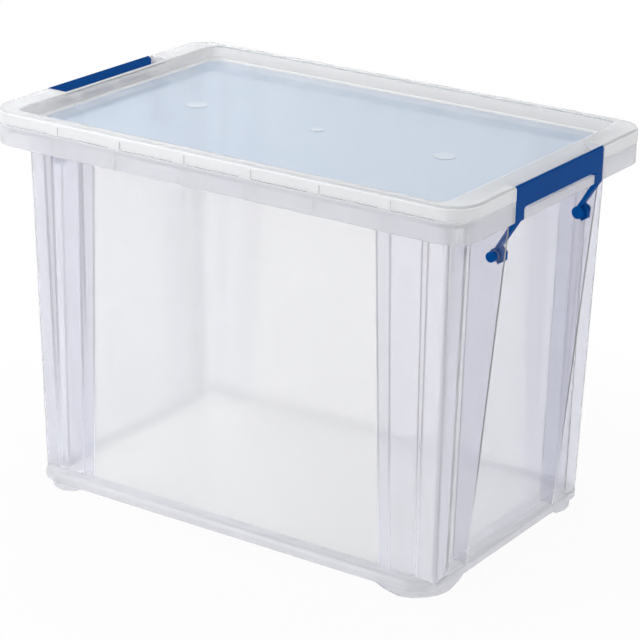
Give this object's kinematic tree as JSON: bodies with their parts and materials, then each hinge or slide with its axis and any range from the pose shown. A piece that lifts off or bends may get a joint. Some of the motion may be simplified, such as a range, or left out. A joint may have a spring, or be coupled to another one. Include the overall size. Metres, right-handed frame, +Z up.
{
  "type": "storage box",
  "caption": "Clear milky plastic storage box for papers and keepsakes, with a sunk-panel lid held by a blue swinging clip at each end.",
  "frame": {"origin": "middle of the footprint, on the floor under the feet", "axes": "+X along the long side towards the right clip, +Y along the short side towards the back, +Z up"},
  "size_m": [0.395, 0.255, 0.29],
  "materials": {
    "tub_clear": "satin, milky see-through",
    "lid_clear": "satin, milky see-through",
    "clip_blue": "satin"
  },
  "bodies": {
    "tub": {"tub": "tub_clear"},
    "lid": {"lid": "lid_clear"},
    "left_clip": {"left_clip": "clip_blue"},
    "right_clip": {"right_clip": "clip_blue"}
  },
  "joints": [
    {"name": "lid_lift", "type": "slide", "parent": "tub", "child": "lid", "axis": [0, 0, 1], "range_m": [0, 0.3]},
    {"name": "left_clip_open", "type": "hinge", "parent": "tub", "child": "left_clip", "pos_m": [-0.1833, 0, 0.2403], "axis": [0, -1, 0], "range_deg": [0, 165]},
    {"name": "right_clip_open", "type": "hinge", "parent": "tub", "child": "right_clip", "pos_m": [0.1833, 0, 0.2403], "axis": [0, 1, 0], "range_deg": [0, 165]}
  ]
}
